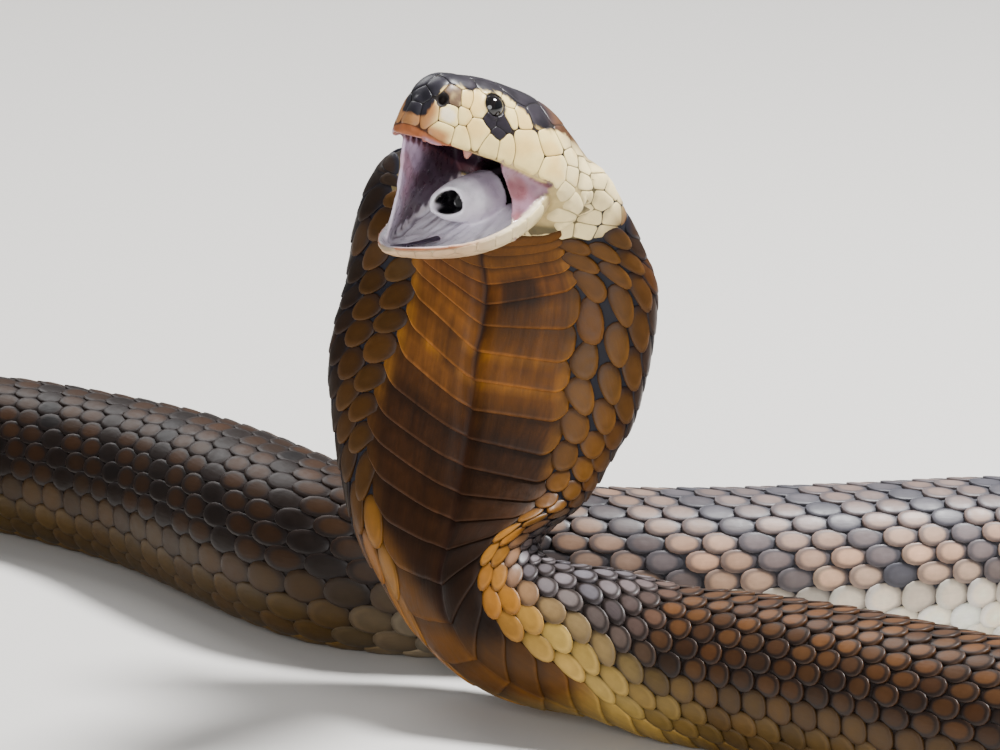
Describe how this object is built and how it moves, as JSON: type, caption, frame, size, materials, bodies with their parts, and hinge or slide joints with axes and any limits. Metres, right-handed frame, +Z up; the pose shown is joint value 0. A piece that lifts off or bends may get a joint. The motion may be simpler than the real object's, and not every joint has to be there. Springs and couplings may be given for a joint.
{
  "type": "cobra",
  "caption": "Life-size still model of a rearing cobra with spread hood and open mouth, its body laid in bends on the floor.",
  "frame": {"origin": "on the floor, in the middle of the width of the belly's flat, just after the raised body lies down", "axes": "+Z up, +X the way the body leads off from the raised part to the snake's right-hand bend, -Y the way the hood's front faces"},
  "size_m": [0.6013, 0.3714, 0.1937],
  "materials": {
    "body_scales": "glossy overlapping scales, dark brown to tan, with blue-black skin between them",
    "hood_plates": "satin belly plates, amber to olive brown with ochre bands",
    "head_shields": "satin head shields, cream sides with dark sutures and a dark crown",
    "jaw_shields": "cream lip shields and a moist pale lining",
    "eye_cornea": "wet black",
    "tongue_flesh": "moist dark flesh"
  },
  "bodies": {
    "root": {"head": "head_shields", "lower_jaw": "jaw_shields", "eye_left": "eye_cornea", "eye_right": "eye_cornea", "tongue": "tongue_flesh", "hood": "hood_plates", "neck_base": "hood_plates", "fore_body": "body_scales", "right_bend_1": "body_scales", "right_bend_2": "body_scales", "right_bend_3": "body_scales", "mid_body_1": "body_scales", "mid_body_2": "body_scales", "left_body_1": "body_scales", "left_body_2": "body_scales", "hind_body_1": "body_scales", "hind_body_2": "body_scales", "left_bend_1": "body_scales", "left_bend_2": "body_scales", "left_bend_3": "body_scales", "tail_1": "body_scales", "tail_2": "body_scales"}
  },
  "joints": []
}
